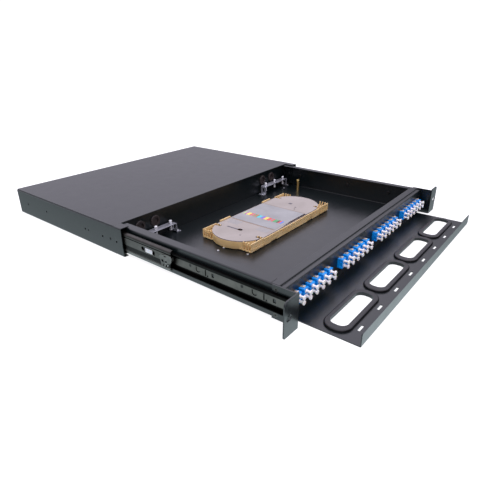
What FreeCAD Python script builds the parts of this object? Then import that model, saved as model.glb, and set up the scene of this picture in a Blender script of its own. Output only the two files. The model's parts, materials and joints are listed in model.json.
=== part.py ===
"""Sliding 1U fibre termination box for a 19 inch rack.

A sheet-steel sleeve holds a drawer on two ball-bearing slides.  The drawer carries
the splice tray, the adapter panel, the front cable tray and the rack ears.  It is
drawn pulled out, which is its rest position.

Frame: X to the right seen from the front, Y to the back, Z up, millimetres.  The origin
is the centre of the line through the two rack slots, on the front face of the ears.
"""
import math
import os

import FreeCAD
import Part

os.makedirs("parts", exist_ok=True)
V = FreeCAD.Vector

# ---------------------------------------------------------------- driving dimensions
SHEET = 1.2                    # steel sheet thickness
UNIT_H = 44.0                  # height of the unit, one rack unit less clearance
Z_BOT = -UNIT_H / 2
Z_TOP = UNIT_H / 2

# sleeve
SLEEVE_W = 450.0
SLEEVE_Y0 = 284.0              # front edge of the sleeve, with the drawer out
SLEEVE_D = 304.0
SLEEVE_Y1 = SLEEVE_Y0 + SLEEVE_D
COVER_SETBACK = 18.2           # cover starts behind the side panels' front tabs
TAB_W = 14.0                   # width of the front tabs on top of the side panels
SEAM = 0.9                     # step between cover and side panel
FLANGE_W = 8.0                 # flange under the side panel
LEDGE_W = 8.5                  # ledge that carries the cover
SIDE_HOLES = ((13.0, -1.2, 1.7), (47.0, -1.2, 1.7), (83.5, -1.2, 1.4),
              (92.0, -1.2, 1.7), (207.5, 0.0, 1.7))   # from the front edge, height, radius
OUTER_SCREW_Y = (SLEEVE_Y0 + 27.0, SLEEVE_Y0 + 270.5)

# drawer
DRAWER_W = 429.0
DRAWER_TOP = 20.0
DRAWER_Y1 = 305.6              # back face of the drawer's rear wall
RIM_W = 12.5                   # flange on top of the drawer's side walls
PANEL_Y = 19.0                 # front face of the adapter panel
PANEL_TOP = 18.2               # top of that face, a step below the lip
PANEL_STEP = 6.2               # depth of the step
PANEL_LIP_Y = 36.0             # back edge of the lip
PANEL_FOOT = 12.0
PANEL_SCREW_X = (-190.0, 0.0, 190.0)
PANEL_SCREW_Y = PANEL_Y + 7.0
INNER_SCREW_Y = (75.0, 158.0, 266.0)
INNER_SCREW_Z = 2.0
WALL_TAB = 18.0                # side tabs of the rear wall
WALL_SCREW_Y = 292.0
FLOOR_RIVETS = ((-127.4, 191.3), (-115.3, 191.3), (-110.5, 149.7), (181.0, 284.0))
FIT_GAP = 0.1                  # gap where one folded sheet stands inside another

# front cable tray
TRAY_W = 407.6
TRAY_Y0 = -66.5
TRAY_LIP_H = 16.2
WINDOW_PITCH = 100.0
WINDOW_Y = -31.0
WINDOW_L = 78.0
WINDOW_D = 21.0
TIE_Y = -52.8
TIE_X = (25.0, 75.0, 125.0, 175.0)
TRAY_UPSTAND_H = 9.0
TRAY_SCREW_X = (-198.0, -105.6, 0.0, 105.6, 198.0)
TRAY_SCREW_Z = -16.2
GROMMET_H = 3.2

# rack ears
EAR_T = 1.5
EAR_HALF = 241.3
EAR_BEND = 216.0
SLOT_HALF_PITCH = 232.55
SLOT_L = 10.0
SLOT_W = 6.8
EAR_TAB_Y = 33.0               # back end of the ear's two side tabs
EAR_TAB_Z = 11.6               # the tabs keep clear of the slide between them
EAR_TOP = 20.2                 # top of the ear's side plate, under the sleeve's tabs
EAR_SCREW_Y = 28.0
EAR_SCREW_Z = (15.4, -16.6)

# adapters
GROUP_PITCH = 105.6
ADAPTER_PITCH = 14.15
ADAPTERS_PER_GROUP = 6
ADAPTER_W = 9.4
ADAPTER_H = 13.2
ADAPTER_Z = -0.5
ADAPTER_FRONT = 12.0
ADAPTER_BACK = 42.0
PORT_PITCH = 6.25
PORT_SIDE = 4.6
PORT_DEPTH = 11.0
CLIP_W = 4.2                   # spring clip over and under each adapter
CLIP_Y = 14.2                  # its front edge
CAP_STEM = 5.4                 # dust cap, from the adapter's face to the cap's head
CAP_HEAD_R = 2.85
CAP_HEAD_T = 1.7

# slides: u runs from the sleeve's side panel towards the drawer
SLIDE_T = 1.0
SLIDE_X0 = SLEEVE_W / 2 - SHEET
OUTER_U = (0.0, 7.4)
MIDDLE_U = (2.0, 7.2)
INNER_U = (4.1, 9.3)
OUTER_CAGE_U = (1.3, 6.0)
INNER_CAGE_U = (3.3, 6.3)
OUTER_HALF_H = 19.0
MIDDLE_HALF_H = 15.0
INNER_HALF_H = 11.0
OUTER_CAGE_HALF_H = 16.8
INNER_CAGE_HALF_H = 12.8
OUTER_Y = (SLEEVE_Y0 + 2, SLEEVE_Y1 - 2)
MIDDLE_Y = (187.0, 487.0)
MIDDLE_R = 3.6                 # rolled shoulder of the middle member
MIDDLE_GROOVE_Z = 9.4
LATCH_U = (1.35, 1.95)         # release lever on the middle member's front end
LATCH_PIVOT = (201.0, 2.0)
INNER_Y = (11.0, 303.0)
OUTER_CAGE_Y = (300.0, 460.0)
INNER_CAGE_Y = (190.0, 292.0)
BALL_R = 1.2
BALL_PLAY = 0.15
BALLS_PER_RACE = 10

# splice tray
ST_Z = -19.7
ST_H = 11.5                    # to the underside of the cover
ST_BLOCK_H = 13.2              # long walls at the corners, where the fibres enter
ST_LUG_H = 14.6                # snap lugs
ST_RIB_H = 8.5                 # walls between the fibre channels
ST_X = (-106.5, 117.5)
ST_Y = (146.5, 242.0)
ST_R = 46.4
ST_CX = (-68.5, 73.0)
ST_CY = 194.4
ST_WALL = 1.4
ST_BLOCK_X = (-76.0, 87.0)     # inner ends of the channels
ST_LUGS = ((-66.0, -41.0), (48.0, 71.0))   # snap lugs on the rear side
COMB_PITCH = 4.9               # spacing of the fibre channels
COMB_POST = 2.4                # length of the posts at both ends of each rib
TRAY_STUDS = ((-68.5, 194.4), (73.0, 194.4))
COVER_T = 1.2
LABEL_X = (-40.5, 46.0)
LABEL_T = 0.25
LABEL_GAP = 4.2                # open slit in the cover along the label's front edge

# cable clamps at the back of the drawer
CLAMP_X = (-155.0, 161.0)
CLAMP_Y = 294.5
CLAMP_HALF = 38.0
CLAMP_D = 12.0
CLAMP_H = 16.4
CLAMP_SCREW_PITCH = 30.0
CLAMP_SCREW_R = 2.4                # head radius
CLAMP_FOOT = 7.6
CLAMP_RIVET_X = CLAMP_HALF + 4.4   # rivets in the feet, from the clamp's middle

# earth stud
STUD_XY = (187.0, 254.0)

# rear cable entries, closed by thin rubber skins until a cable is brought in
ENTRY_X = (-177.0, -147.5, 131.5, 161.0)
ENTRY_Z = 5.0
ENTRY_R = 5.2
ENTRY_FLANGE_R = 9.0


# ---------------------------------------------------------------- helpers
def box(x0, x1, y0, y1, z0, z1):
    return Part.makeBox(x1 - x0, y1 - y0, z1 - z0, V(x0, y0, z0))


def rod(p, direction, r, length):
    return Part.makeCylinder(r, length, V(*p), V(*direction))


def group(shapes):
    return Part.makeCompound(list(shapes))


def fuse(shapes):
    shapes = list(shapes)
    result = shapes[0]
    if len(shapes) > 1:
        result = result.fuse(shapes[1:])
    return result.removeSplitter()


def cut(shape, tools):
    tools = list(tools)
    return shape.cut(tools) if tools else shape


def mirror_x(shape):
    return shape.mirror(V(0, 0, 0), V(1, 0, 0))


def rounded_outline(points, radii):
    """Closed wire through points, each corner rounded by its radius."""
    n = len(points)
    starts = []
    ends = []
    mids = []
    for i in range(n):
        p = V(*points[i])
        a = (V(*points[i - 1]) - p).normalize()
        b = (V(*points[(i + 1) % n]) - p).normalize()
        r = radii[i]
        half = 0.5 * math.acos(max(-1.0, min(1.0, a.dot(b))))
        if r <= 0 or half > math.pi / 2 - 1e-6:
            starts.append(p)
            ends.append(p)
            mids.append(None)
            continue
        reach = r / math.tan(half)
        bis = (a + b).normalize()
        centre = p + bis * (r / math.sin(half))
        starts.append(p + a * reach)
        ends.append(p + b * reach)
        mids.append(centre - bis * r)
    edges = []
    for i in range(n):
        if mids[i] is not None:
            edges.append(Part.Arc(starts[i], mids[i], ends[i]).toShape())
        q = starts[(i + 1) % n]
        if (q - ends[i]).Length > 1e-6:
            edges.append(Part.makeLine(ends[i], q))
    return Part.Wire(edges)


def extrude(points, radii, vector):
    return Part.Face(rounded_outline(points, radii)).extrude(V(*vector))


def folded(path, thickness, radius, y0, y1):
    """Bent sheet: path is its outer face in X and Z, the sheet lies to its right."""
    n = len(path)
    inner = []
    for i in range(n):
        x, z = path[i]
        normals = []
        for j, k in ((i - 1, i), (i, i + 1)):
            if j < 0 or k >= n:
                continue
            dx = path[k][0] - path[j][0]
            dz = path[k][1] - path[j][1]
            length = math.hypot(dx, dz)
            normals.append((dz / length, -dx / length))
        if len(normals) == 2:
            dot = normals[0][0] * normals[1][0] + normals[0][1] * normals[1][1]
            scale = thickness / (1 + dot)
            ox = (normals[0][0] + normals[1][0]) * scale
            oz = (normals[0][1] + normals[1][1]) * scale
        else:
            ox = normals[0][0] * thickness
            oz = normals[0][1] * thickness
        inner.append((x + ox, z + oz))
    points = []
    radii = []
    for i, (x, z) in enumerate(path):
        points.append((x, y0, z))
        inside = is_right_turn(path, i)
        bend = radius if inside is None or not inside else radius + thickness
        radii.append(0 if i in (0, n - 1) else bend)
    for i in range(n - 1, -1, -1):
        x, z = inner[i]
        points.append((x, y0, z))
        inside = is_right_turn(path, i)
        bend = radius if inside else radius + thickness
        radii.append(0 if i in (0, n - 1) else bend)
    return extrude(points, radii, (0, y1 - y0, 0))


def is_right_turn(path, i):
    if i in (0, len(path) - 1):
        return None
    ax = path[i][0] - path[i - 1][0]
    az = path[i][1] - path[i - 1][1]
    bx = path[i + 1][0] - path[i][0]
    bz = path[i + 1][1] - path[i][1]
    return ax * bz - az * bx < 0


def plate_round(cx, cy, length, depth, r, z0, z1):
    """Upright prism with a rounded rectangle as its base."""
    x0 = cx - length / 2
    x1 = cx + length / 2
    y0 = cy - depth / 2
    y1 = cy + depth / 2
    corners = [(x0, y0, z0), (x1, y0, z0), (x1, y1, z0), (x0, y1, z0)]
    return extrude(corners, [r] * 4, (0, 0, z1 - z0))


def slot_y(cx, cz, length, width, y0, y1):
    """Prism along Y with a slot-shaped section running along X."""
    r = width / 2
    straight = length / 2 - r
    shapes = [rod((cx - straight, y0, cz), (0, 1, 0), r, y1 - y0)]
    shapes.append(rod((cx + straight, y0, cz), (0, 1, 0), r, y1 - y0))
    if straight > 0:
        shapes.append(box(cx - straight, cx + straight, y0, y1, cz - r, cz + r))
    return fuse(shapes)


def pan_screw(p, direction, shank_r, shank_l, head_r, head_h, recess=True):
    """Screw at p: the head stands on the surface, the shank goes against direction."""
    d = V(*direction)
    back = V(-d.x, -d.y, -d.z)
    head = Part.makeCylinder(head_r, head_h, V(*p), d)
    rim = [e for e in head.Edges if (e.CenterOfMass - V(*p)).dot(d) > head_h * 0.9]
    circles = [e for e in rim if e.Length > head_r * 6]
    head = head.makeFillet(min(head_h, head_r) * 0.45, circles)
    shank = Part.makeCylinder(shank_r, shank_l, V(*p), back)
    screw = head.fuse(shank)
    if recess:
        up = V(0, 0, 1) if abs(d.z) < 0.5 else V(0, 1, 0)
        side = d.cross(up)
        top = V(*p) + d * (head_h * 0.45)
        for a, b in ((up, side), (side, up)):
            half_l = head_r * 0.55
            half_w = head_r * 0.12
            c = [top - a * half_l - b * half_w, top + a * half_l - b * half_w,
                 top + a * half_l + b * half_w, top - a * half_l + b * half_w]
            blade = Part.Face(Part.makePolygon(c + [c[0]])).extrude(d * head_h)
            screw = screw.cut(blade)
    return screw


# ---------------------------------------------------------------- sleeve
def side_panel_left():
    x = -SLEEVE_W / 2
    y_seam = SLEEVE_Y0 + COVER_SETBACK
    rear_path = [(x + FLANGE_W, Z_BOT), (x, Z_BOT), (x, Z_TOP - SHEET), (x + LEDGE_W, Z_TOP - SHEET)]
    front_path = [(x + FLANGE_W, Z_BOT), (x, Z_BOT), (x, Z_TOP), (x + TAB_W, Z_TOP)]
    rear = folded(rear_path, SHEET, 0.6, y_seam - 0.01, SLEEVE_Y1)
    front = folded(front_path, SHEET, 1.0, SLEEVE_Y0, y_seam)
    panel = fuse([front, rear])
    holes = []
    for dy, dz, r in SIDE_HOLES:
        holes.append(rod((x - 1, SLEEVE_Y0 + dy, dz), (1, 0, 0), r, 3))
    for y in OUTER_SCREW_Y:
        holes.append(rod((x - 1, y, 0), (1, 0, 0), 2.05, 3))
    return cut(panel, holes)


def top_cover():
    half = SLEEVE_W / 2 - SEAM
    y0 = SLEEVE_Y0 + COVER_SETBACK + 0.1
    return box(-half, half, y0, SLEEVE_Y1, Z_TOP - SHEET, Z_TOP)


# ---------------------------------------------------------------- ball-bearing slides
def channel(us, ys, half_h, open_inward, lip=0.0, lip_t=0.0, bend=0.9):
    """Slide member on the left side; an inward-opening one has its web on the sleeve's side."""
    x0 = -SLIDE_X0 + us[0]
    x1 = -SLIDE_X0 + us[1]
    y0, y1 = ys
    web_x = x0 if open_inward else x1 - SLIDE_T
    parts = [box(web_x, web_x + SLIDE_T, y0, y1, -half_h, half_h)]
    inner_h = half_h - SLIDE_T
    for s in (-1, 1):
        za, zb = sorted((s * half_h, s * inner_h))
        parts.append(box(x0, x1, y0, y1, za, zb))
        if lip:
            za, zb = sorted((s * inner_h, s * (inner_h - lip)))
            parts.append(box(x1 - lip_t, x1, y0, y1, za, zb))
    body = fuse(parts)
    back_x = x0 if open_inward else x1
    web_in = web_x + SLIDE_T if open_inward else web_x
    outer = long_edges(body, y1 - y0, back_x, half_h)
    inner = long_edges(body, y1 - y0, web_in, inner_h)
    if bend > SLIDE_T:
        body = body.makeFillet(bend - 1.6, inner)
        outer = long_edges(body, y1 - y0, back_x, half_h)
    return body.makeFillet(bend, outer)


def long_edges(body, length, x, z):
    """Edges along Y at the given place and its mirror below."""
    found = []
    for e in body.Edges:
        c = e.CenterOfMass
        if e.Length > length * 0.9 and abs(c.x - x) < 1e-3 and abs(abs(c.z) - z) < 1e-3:
            found.append(e)
    return found


def slide_outer_left():
    body = channel(OUTER_U, OUTER_Y, OUTER_HALF_H, True, 1.4, 1.0)
    holes = [rod((-SLIDE_X0 - 1, y, 0), (1, 0, 0), 2.05, 4) for y in OUTER_SCREW_Y]
    return cut(body, holes)


def slide_middle_left():
    y0, y1 = MIDDLE_Y
    body = channel(MIDDLE_U, MIDDLE_Y, MIDDLE_HALF_H, True, 0.8, 0.8, MIDDLE_R)
    x = -SLIDE_X0 + MIDDLE_U[0]
    cuts = [rod((x - 1, y0 + 55.5, 3.2), (1, 0, 0), 2.9, 3)]
    cuts.append(box(x - 1, x + 2, y0 + 31, y0 + 51, -0.4, 5.4))
    # slanted front end with an opening under the release lever
    cuts.append(extrude([(x - 1, y0 - 1, 2), (x - 1, y0 - 1, -16), (x - 1, y0 + 4, -16)], [0] * 3, (9, 0, 0)))
    cuts.append(box(x - 1, x + 2, y0 + 6, y0 + 18, -10.2, -0.3))
    cuts.append(rod((x - 1, LATCH_PIVOT[0], LATCH_PIVOT[1]), (1, 0, 0), 1.35, 3))
    for dy in (110, 190, 270):
        cuts.append(rod((x - 1, y0 + dy, 0), (1, 0, 0), 3.0, 3))
    # race grooves rolled into the web
    for s in (-1, 1):
        z = s * MIDDLE_GROOVE_Z
        cuts.append(box(x - 0.1, x + 0.5, y0 - 1, y1 + 1, z - 0.45, z + 0.45))
    return cut(body, cuts)


def slide_stop_left():
    """White nylon stop held in the middle member's slot."""
    x = -SLIDE_X0 + MIDDLE_U[0]
    y0 = MIDDLE_Y[0] + 36.5
    face_x = x - 0.25
    block = box(face_x, x + SLIDE_T, y0, y0 + 13.5, -0.4, 5.4)
    return block.makeFillet(0.2, [e for e in block.Edges if abs(e.CenterOfMass.x - face_x) < 1e-3])


def slide_latch_left():
    """Release lever riveted to the middle member, with a hooked arm and a finger tab."""
    x = -SLIDE_X0 + LATCH_U[0]
    t = LATCH_U[1] - LATCH_U[0]
    outline = [(208.5, 3.5), (204.0, 6.0), (197.0, 7.5), (190.5, 8.5), (186.0, 7.6), (184.6, 4.2),
               (185.6, 0.0), (188.5, -3.6), (192.5, -4.6), (195.5, -6.6), (199.0, -11.6), (203.6, -12.6),
               (205.0, -9.0), (206.4, -4.0)]
    radii = [1.5, 2.0, 3.0, 2.0, 1.8, 2.0, 2.0, 1.5, 1.5, 1.5, 1.2, 1.2, 1.5, 2.0]
    plate = extrude([(x, y, z) for y, z in outline], radii, (t, 0, 0))
    holes = [[(200.0, 5.6), (195.0, 6.4), (194.0, 4.6), (198.4, 3.9)],
             [(205.0, -0.2), (200.8, -0.8), (200.2, -4.4), (203.6, -4.4)],
             [(198.2, -1.2), (193.6, -0.8), (194.6, -3.9), (197.8, -5.6)],
             [(202.6, -6.4), (199.4, -6.6), (200.2, -9.6), (202.8, -9.4)]]
    cuts = [extrude([(x - 1, y, z) for y, z in hole], [0.4] * 4, (3, 0, 0)) for hole in holes]
    pin = rod((x, LATCH_PIVOT[0], LATCH_PIVOT[1]), (1, 0, 0), 1.3, 1.6)
    finger = box(x + t - 0.01, x + 4.2, 185.3, 186.3, 1.0, 6.0)
    return cut(fuse([plate, pin, finger]), cuts)


def slide_inner_left():
    y0 = INNER_Y[0]
    body = channel(INNER_U, INNER_Y, INNER_HALF_H, False)
    x = -SLIDE_X0 + INNER_U[1]
    cuts = []
    # hooked tongues, latch slits and short slots pressed through the web
    for y in (57.0, 144.5, 244.0):
        ring = rod((x - 2, y, 0.6), (1, 0, 0), 3.9, 3)
        core = rod((x - 2, y, 0.6), (1, 0, 0), 2.3, 3)
        upper = box(x - 2, x + 1, y - 5, y + 5, -0.6, 6)
        cuts.append(ring.cut(core).cut(upper))
        cuts.append(box(x - 2, x + 1, y + 2.3, y + 3.9, -0.7, 3.6))
    for y in (43.0, 131.0, 230.0):
        cuts.append(box(x - 2, x + 1, y, y + 1.8, -4.0, 4.4))
        cuts.append(box(x - 2, x + 1, y - 3.4, y - 1.4, -4.6, -2.2))
    for y in (28.0, 118.0, 217.0):
        cuts.append(box(x - 2, x + 1, y, y + 4.0, -2.6, 2.6))
    for y in INNER_SCREW_Y:
        cuts.append(rod((x - 2, y, INNER_SCREW_Z), (1, 0, 0), 2.05, 3))
    return cut(body, cuts)


def ball_cage_left(us, half_h, ys):
    """Ball retainer with its balls in the two races."""
    y0, y1 = ys
    x0 = -SLIDE_X0 + us[0]
    x1 = -SLIDE_X0 + us[1]
    t = 0.4
    strip_t = 0.6
    parts = [box(x0, x0 + t, y0, y1, -half_h, half_h)]
    ball_x = x0 + 0.5 + (x1 - x0) * 0.5
    balls = []
    pockets = []
    for s in (-1, 1):
        za, zb = sorted((s * half_h, s * (half_h - strip_t)))
        parts.append(box(x0, x1, y0, y1, za, zb))
        z = s * (half_h - strip_t / 2)
        for i in range(BALLS_PER_RACE):
            y = y0 + 6 + i * (y1 - y0 - 12) / (BALLS_PER_RACE - 1)
            balls.append(Part.makeSphere(BALL_R, V(ball_x, y, z)))
            pockets.append(Part.makeSphere(BALL_R + BALL_PLAY, V(ball_x, y, z)))
    body = fuse(parts)
    body = body.makeChamfer(0.5, long_edges(body, y1 - y0, x0, half_h))
    windows = []
    span = (y1 - y0 - 20) / 5
    for i in range(5):
        windows.append(box(x0 - 1, x0 + t + 0.2, y0 + 12 + i * span, y0 + 12 + i * span + span * 0.7,
                           -half_h + 4, half_h - 4))
    body = cut(body, windows + pockets)
    return group([body] + balls)


# ---------------------------------------------------------------- drawer sheet metal
def drawer_pan():
    half = DRAWER_W / 2
    path = [(-half + RIM_W, DRAWER_TOP), (-half, DRAWER_TOP), (-half, Z_BOT), (half, Z_BOT),
            (half, DRAWER_TOP), (half - RIM_W, DRAWER_TOP)]
    path.reverse()
    pan = folded(path, SHEET, 0.8, 2.0, DRAWER_Y1)
    inner = half - SHEET
    # the floor starts behind the adapter panel's face and the rims behind its lip
    cuts = [box(-inner, inner, 1, PANEL_Y + FIT_GAP, Z_BOT - 1, DRAWER_TOP + 1)]
    cuts.append(box(-inner, inner, 1, PANEL_LIP_Y + 0.3, DRAWER_TOP - 3, DRAWER_TOP + 1))
    # the rear wall stands on the floor between the sides, so the rims stop before it
    y_wall = DRAWER_Y1 - SHEET - FIT_GAP
    cuts.append(box(-inner, inner, y_wall, DRAWER_Y1 + 1, DRAWER_TOP - 3, DRAWER_TOP + 1))
    for s in (-1, 1):
        for y in INNER_SCREW_Y:
            cuts.append(rod((s * half - 3, y, INNER_SCREW_Z), (1, 0, 0), 2.05, 6))
        for z in EAR_SCREW_Z:
            cuts.append(rod((s * half - 3, EAR_SCREW_Y, z), (1, 0, 0), 1.75, 6))
        cuts.append(rod((s * half - 3, WALL_SCREW_Y, INNER_SCREW_Z), (1, 0, 0), 1.55, 6))
    for x, y in FLOOR_RIVETS:
        cuts.append(rod((x, y, Z_BOT - 1), (0, 0, 1), 1.25, 4))
    for x in PANEL_SCREW_X:
        cuts.append(rod((x, PANEL_SCREW_Y, Z_BOT - 1), (0, 0, 1), 1.55, 4))
    return cut(pan, cuts)


def corner_reliefs(half, y0, y1, z):
    """Notches that let a sheet stand beside the pan's folded corners."""
    return [box(-half - 1, -half + 0.9, y0, y1, z - 1, z + 0.9),
            box(half - 0.9, half + 1, y0, y1, z - 1, z + 0.9)]


def rear_wall():
    half = DRAWER_W / 2 - SHEET - FIT_GAP
    y0 = DRAWER_Y1 - SHEET
    zb = Z_BOT + SHEET + FIT_GAP / 2
    wall = box(-half, half, y0, DRAWER_Y1, zb, DRAWER_TOP)
    tabs = []
    for s in (-1, 1):
        x0, x1 = sorted((s * half, s * (half - SHEET)))
        tabs.append(box(x0, x1, y0 - WALL_TAB, y0, zb + 1, DRAWER_TOP - 4))
    wall = fuse([wall] + tabs)
    holes = corner_reliefs(half, y0 - 1, DRAWER_Y1 + 1, zb)
    for x in ENTRY_X:
        holes.append(rod((x, y0 - 1, ENTRY_Z), (0, 1, 0), 6.5, 4))
    for s in (-1, 1):
        holes.append(rod((s * half - 3, WALL_SCREW_Y, INNER_SCREW_Z), (1, 0, 0), 1.55, 6))
    return cut(wall, holes)


def rear_wall_screws():
    shapes = []
    x = DRAWER_W / 2 - 2 * SHEET - FIT_GAP
    for s in (-1, 1):
        shapes.append(pan_screw((s * x, WALL_SCREW_Y, INNER_SCREW_Z), (-s, 0, 0), 1.5, 2.5, 2.7, 1.6))
    return group(shapes)


def entry_grommet(x):
    y0 = DRAWER_Y1 - SHEET
    r = ENTRY_FLANGE_R
    skin = DRAWER_Y1 - SHEET / 2
    profile = [(0, skin - 0.5), (ENTRY_R, skin - 0.5), (ENTRY_R + 0.6, y0 - 2.2), (r - 0.7, y0 - 2.2),
               (r, y0 - 1.6), (r, y0), (6.5, y0), (6.5, DRAWER_Y1), (r, DRAWER_Y1),
               (r, DRAWER_Y1 + 1.6), (r - 0.7, DRAWER_Y1 + 2.2), (ENTRY_R + 0.6, DRAWER_Y1 + 2.2),
               (ENTRY_R, skin + 0.5), (0, skin + 0.5)]
    points = [V(r, y, 0) for r, y in profile]
    face = Part.Face(Part.makePolygon(points + [points[0]]))
    plug = face.revolve(V(0, 0, 0), V(0, 1, 0), 360)
    plug.translate(V(x, 0, ENTRY_Z))
    return plug


def adapter_xs(g):
    first = (g - 1.5) * GROUP_PITCH - (ADAPTERS_PER_GROUP - 1) / 2 * ADAPTER_PITCH
    return [first + i * ADAPTER_PITCH for i in range(ADAPTERS_PER_GROUP)]


def adapter_panel():
    half = DRAWER_W / 2 - SHEET - FIT_GAP
    z0 = Z_BOT + SHEET + FIT_GAP / 2
    y1 = PANEL_Y + SHEET
    riser_y = PANEL_Y + PANEL_STEP
    face = box(-half, half, PANEL_Y, y1, z0, PANEL_TOP)
    step = box(-half, half, PANEL_Y, riser_y + SHEET, PANEL_TOP - SHEET, PANEL_TOP)
    riser = box(-half, half, riser_y, riser_y + SHEET, PANEL_TOP - SHEET, DRAWER_TOP)
    lip = box(-half, half, riser_y, PANEL_LIP_Y, DRAWER_TOP - SHEET, DRAWER_TOP)
    foot = box(-half, half, PANEL_Y, PANEL_Y + PANEL_FOOT, z0, z0 + SHEET)
    panel = fuse([face, step, riser, lip, foot])
    bends = []
    for e in panel.Edges:
        c = e.CenterOfMass
        for y, z in ((PANEL_Y, PANEL_TOP), (riser_y, DRAWER_TOP)):
            if e.Length > half and abs(c.y - y) < 1e-3 and abs(c.z - z) < 1e-3:
                bends.append(e)
    panel = panel.makeFillet(1.0, bends)
    cuts = corner_reliefs(half, PANEL_Y - 1, PANEL_Y + PANEL_FOOT + 1, z0)
    hw = ADAPTER_W / 2 + 0.1
    hh = ADAPTER_H / 2 + 0.1
    for g in range(4):
        for x in adapter_xs(g):
            cuts.append(box(x - hw, x + hw, PANEL_Y - 1, y1 + 1, ADAPTER_Z - hh, ADAPTER_Z + hh))
    for x in PANEL_SCREW_X:
        cuts.append(rod((x, PANEL_SCREW_Y, z0 - 1), (0, 0, 1), 1.55, 4))
    for x in TRAY_SCREW_X:
        cuts.append(rod((x, PANEL_Y - 1, TRAY_SCREW_Z), (0, 1, 0), 1.55, 4))
    return cut(panel, cuts)


def cable_tray():
    half = TRAY_W / 2
    y_back = PANEL_Y
    z1 = Z_BOT + SHEET
    plate = box(-half, half, TRAY_Y0, y_back, Z_BOT, z1)
    lip = box(-half, half, TRAY_Y0, TRAY_Y0 + SHEET, Z_BOT, Z_BOT + TRAY_LIP_H)
    upstand = box(-half, half, y_back - SHEET, y_back, Z_BOT, Z_BOT + TRAY_UPSTAND_H)
    tray = fuse([plate, lip, upstand])
    bends = []
    corners = []
    for e in tray.Edges:
        c = e.CenterOfMass
        if e.Length > half and abs(c.y - TRAY_Y0) < 1e-3 and abs(c.z - Z_BOT) < 1e-3:
            bends.append(e)
    tray = tray.makeFillet(1.5, bends)
    for e in tray.Edges:
        c = e.CenterOfMass
        upright = e.Length < SHEET * 1.01 and abs(c.z - Z_BOT - TRAY_LIP_H) < 1e-3
        if upright and abs(abs(c.x) - half) < 1e-3:
            corners.append(e)
    tray = tray.makeFillet(2.0, corners)
    cuts = []
    for i in range(4):
        x = (i - 1.5) * WINDOW_PITCH
        cuts.append(plate_round(x, WINDOW_Y, WINDOW_L + 8.1, WINDOW_D + 6.1, 12.05, Z_BOT - 1, z1 + 1))
    for x in TIE_X:
        for s in (-1, 1):
            cuts.append(plate_round(s * x, TIE_Y, 12.0, 3.0, 0.8, Z_BOT - 1, z1 + 1))
    for x in TRAY_SCREW_X:
        cuts.append(rod((x, y_back - 3, TRAY_SCREW_Z), (0, 1, 0), 1.55, 4))
    return cut(tray, cuts)


def tray_screws():
    y = PANEL_Y - SHEET
    return group(pan_screw((x, y, TRAY_SCREW_Z), (0, -1, 0), 1.5, 5.0, 2.75, 1.7) for x in TRAY_SCREW_X)


def panel_screws():
    z = Z_BOT + 2 * SHEET + FIT_GAP / 2
    return group(pan_screw((x, PANEL_SCREW_Y, z), (0, 0, 1), 1.5, 2.4, 2.75, 1.7) for x in PANEL_SCREW_X)


def window_grommet(i):
    x = (i - 1.5) * WINDOW_PITCH
    z1 = Z_BOT + SHEET
    collar = plate_round(x, WINDOW_Y, WINDOW_L + 8, WINDOW_D + 6, 12.0, Z_BOT, z1)
    rim = plate_round(x, WINDOW_Y, WINDOW_L + 17, WINDOW_D + 11.5, 14.8, z1, z1 + GROMMET_H)
    top_edges = [e for e in rim.Edges if abs(e.CenterOfMass.z - z1 - GROMMET_H) < 1e-3]
    rim = rim.makeFillet(2.0, top_edges)
    ring = fuse([collar, rim])
    hole = plate_round(x, WINDOW_Y, WINDOW_L, WINDOW_D, 8.5, Z_BOT - 1, z1 + 5)
    return ring.cut(hole)


# ---------------------------------------------------------------- rack ears
def rack_ear_left():
    x_in = -DRAWER_W / 2
    face = box(-EAR_HALF, x_in, 0, EAR_T, Z_BOT, Z_TOP)
    corner = []
    for e in face.Edges:
        c = e.CenterOfMass
        if e.Length < EAR_T * 1.01 and abs(c.x + EAR_HALF) < 1e-3:
            corner.append((e, 5.0 if c.z > 0 else 2.5))
    for e, r in corner:
        face = face.makeFillet(r, [find_edge(face, e.CenterOfMass)])
    side = box(-EAR_BEND, x_in, 0, 10.0, Z_BOT, EAR_TOP)
    upper = box(-EAR_BEND, x_in, 10.0, EAR_TAB_Y, EAR_TAB_Z, EAR_TOP)
    lower = box(-EAR_BEND, x_in, 10.0, EAR_TAB_Y, Z_BOT, -EAR_TAB_Z)
    ear = fuse([face, side, upper, lower])
    cuts = [slot_y(-SLOT_HALF_PITCH, 0, SLOT_L, SLOT_W, -1, EAR_T + 1)]
    for z in EAR_SCREW_Z:
        cuts.append(rod((-EAR_BEND - 1, EAR_SCREW_Y, z), (1, 0, 0), 1.75, 4))
        cuts.append(Part.makeCone(3.1, 1.75, 1.35, V(-EAR_BEND, EAR_SCREW_Y, z), V(1, 0, 0)))
    return cut(ear, cuts)


def find_edge(shape, point):
    return min(shape.Edges, key=lambda e: (e.CenterOfMass - point).Length)


def ear_screws():
    """Countersunk screws, flush with the ear so that it passes the slide."""
    shapes = []
    for s in (-1, 1):
        for z in EAR_SCREW_Z:
            p = V(s * EAR_BEND, EAR_SCREW_Y, z)
            inward = V(-s, 0, 0)
            head = Part.makeCone(3.0, 1.7, 1.3, p, inward)
            screw = fuse([head, Part.makeCylinder(1.7, 4.0, p, inward)])
            socket = Part.makeCylinder(1.1, 0.8, p + V(s * 0.1, 0, 0), inward)
            shapes.append(screw.cut(socket))
    return group(shapes)


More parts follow.
